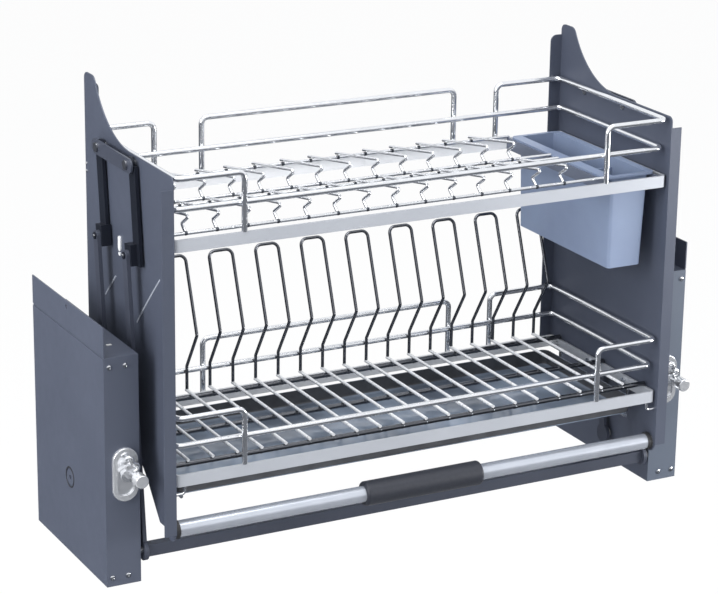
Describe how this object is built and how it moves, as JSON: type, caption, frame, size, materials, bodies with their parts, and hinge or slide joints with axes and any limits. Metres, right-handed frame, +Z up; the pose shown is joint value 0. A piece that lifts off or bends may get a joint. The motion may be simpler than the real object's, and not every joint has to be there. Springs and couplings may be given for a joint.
{
  "type": "pull-down dish rack",
  "caption": "Pull-down dish rack for a wall cabinet: wire baskets between side panels swing forward and down on paired arms, with plate loops, cutlery box and drip tray.",
  "frame": {"origin": "centre of the base of the part's box, level with the housings' feet", "axes": "+X to the right along the rack's width, +Y to the back of the cabinet, +Z up"},
  "size_m": [0.764, 0.2616, 0.543],
  "materials": {
    "housing_paint": "satin slate grey paint",
    "panel_paint": "satin slate grey paint",
    "arm_paint": "satin slate grey paint",
    "chrome_wire": "polished wire",
    "chrome_trim": "polished",
    "basket_bar": "smooth grey paint",
    "zinc_steel": "bright zinc",
    "handle_metal": "polished",
    "grip_foam": "soft foam",
    "box_plastic": "smooth blue-grey",
    "tray_plastic": "smooth smoked grey",
    "bush_plastic": "smooth white",
    "clip_white": "smooth white",
    "damper_black": "moulded"
  },
  "bodies": {
    "housings": {"left_mount_plate": "housing_paint", "right_mount_plate": "housing_paint", "left_housing_shell": "housing_paint", "right_housing_shell": "housing_paint", "left_front_cover": "housing_paint", "right_front_cover": "housing_paint", "wall_bosses": "zinc_steel", "cover_screws": "zinc_steel", "crank_escutcheons": "chrome_trim", "top_clips": "clip_white", "pivot_bushes": "bush_plastic", "rotary_dampers": "damper_black", "adjuster_bearings": "zinc_steel", "balance_springs": "zinc_steel"},
    "front_arms": {"left_front_arm_bar": "arm_paint", "right_front_arm_bar": "arm_paint", "front_blades": "arm_paint", "front_lap_bolts": "zinc_steel", "front_pivot_shafts": "zinc_steel", "sync_bar": "arm_paint"},
    "rear_arms": {"left_rear_arm_bar": "arm_paint", "right_rear_arm_bar": "arm_paint", "rear_blades": "arm_paint", "rear_lap_bolts": "zinc_steel", "rear_pivot_shafts": "zinc_steel", "spring_cranks": "zinc_steel"},
    "baskets": {"left_side_panel": "panel_paint", "right_side_panel": "panel_paint", "pivot_straps": "zinc_steel", "upper_pivot_bolts": "zinc_steel", "stop_tags": "zinc_steel", "handle_tube": "handle_metal", "handle_grip": "grip_foam", "upper_basket_frame": "basket_bar", "upper_top_rails": "chrome_wire", "upper_mid_rail": "chrome_wire", "upper_back_loop": "chrome_wire", "lower_basket_frame": "basket_bar", "lower_top_rails": "chrome_wire", "lower_mid_rail": "chrome_wire", "lower_back_loop": "chrome_wire", "basket_screws": "zinc_steel", "bowl_rack_rods": "chrome_wire", "bowl_rack_wires": "chrome_wire", "plate_rack_rods": "chrome_wire", "plate_floor_wires": "chrome_wire", "plate_loops": "chrome_wire", "box_rails": "basket_bar", "tray_runners": "chrome_wire", "basket_hooks": "chrome_wire"},
    "cutlery_box": {"cutlery_box": "box_plastic"},
    "drip_tray": {"drip_tray": "tray_plastic"},
    "left_adjuster": {"left_crank_arm": "chrome_trim", "left_adjuster_screw": "zinc_steel"},
    "left_knob": {"left_crank_knob": "chrome_trim"},
    "left_spring_nut": {"left_spring_nut": "zinc_steel"},
    "right_adjuster": {"right_crank_arm": "chrome_trim", "right_adjuster_screw": "zinc_steel"},
    "right_knob": {"right_crank_knob": "chrome_trim"},
    "right_spring_nut": {"right_spring_nut": "zinc_steel"}
  },
  "joints": [
    {"name": "lift", "type": "hinge", "parent": "housings", "child": "front_arms", "pos_m": [0, -0.07525, 0.034], "axis": [1, 0, 0], "range_deg": [0, 78]},
    {"name": "rear_swing", "type": "hinge", "parent": "housings", "child": "rear_arms", "pos_m": [0, 0.00875, 0.034], "axis": [1, 0, 0], "range_deg": [0, 78], "deforming": ["balance_springs"]},
    {"name": "carrier_level", "type": "hinge", "parent": "front_arms", "child": "baskets", "pos_m": [0, -0.02525, 0.469], "axis": [1, 0, 0], "range_deg": [-78, 0]},
    {"name": "cutlery_box_lift", "type": "slide", "parent": "baskets", "child": "cutlery_box", "axis": [0, 0, 1], "range_m": [0, 0.19]},
    {"name": "drip_tray_pull", "type": "slide", "parent": "baskets", "child": "drip_tray", "axis": [0, -1, 0], "range_m": [0, 0.2]},
    {"name": "left_adjust", "type": "hinge", "parent": "housings", "child": "left_adjuster", "pos_m": [-0.359, -0.02325, 0.133], "axis": [0, 1, 0], "range_deg": [-722, 722]},
    {"name": "left_knob_turn", "type": "hinge", "parent": "left_adjuster", "child": "left_knob", "pos_m": [-0.351, -0.10325, 0.133], "axis": [0, 1, 0], "continuous": true},
    {"name": "left_nut_slide", "type": "slide", "parent": "housings", "child": "left_spring_nut", "axis": [0, -1, 0], "range_m": [-0.012, 0.012]},
    {"name": "right_adjust", "type": "hinge", "parent": "housings", "child": "right_adjuster", "pos_m": [0.359, -0.02325, 0.133], "axis": [0, 1, 0], "range_deg": [-722, 722]},
    {"name": "right_knob_turn", "type": "hinge", "parent": "right_adjuster", "child": "right_knob", "pos_m": [0.367, -0.10325, 0.133], "axis": [0, 1, 0], "continuous": true},
    {"name": "right_nut_slide", "type": "slide", "parent": "housings", "child": "right_spring_nut", "axis": [0, -1, 0], "range_m": [-0.012, 0.012]}
  ],
  "couplings": [
    {"joint": "rear_swing", "follows": "lift", "ratio": 1},
    {"joint": "carrier_level", "follows": "lift", "ratio": -1},
    {"joint": "left_adjust", "follows": "left_nut_slide", "rad_per_m": 1047.2},
    {"joint": "right_adjust", "follows": "right_nut_slide", "rad_per_m": 1047.2}
  ]
}
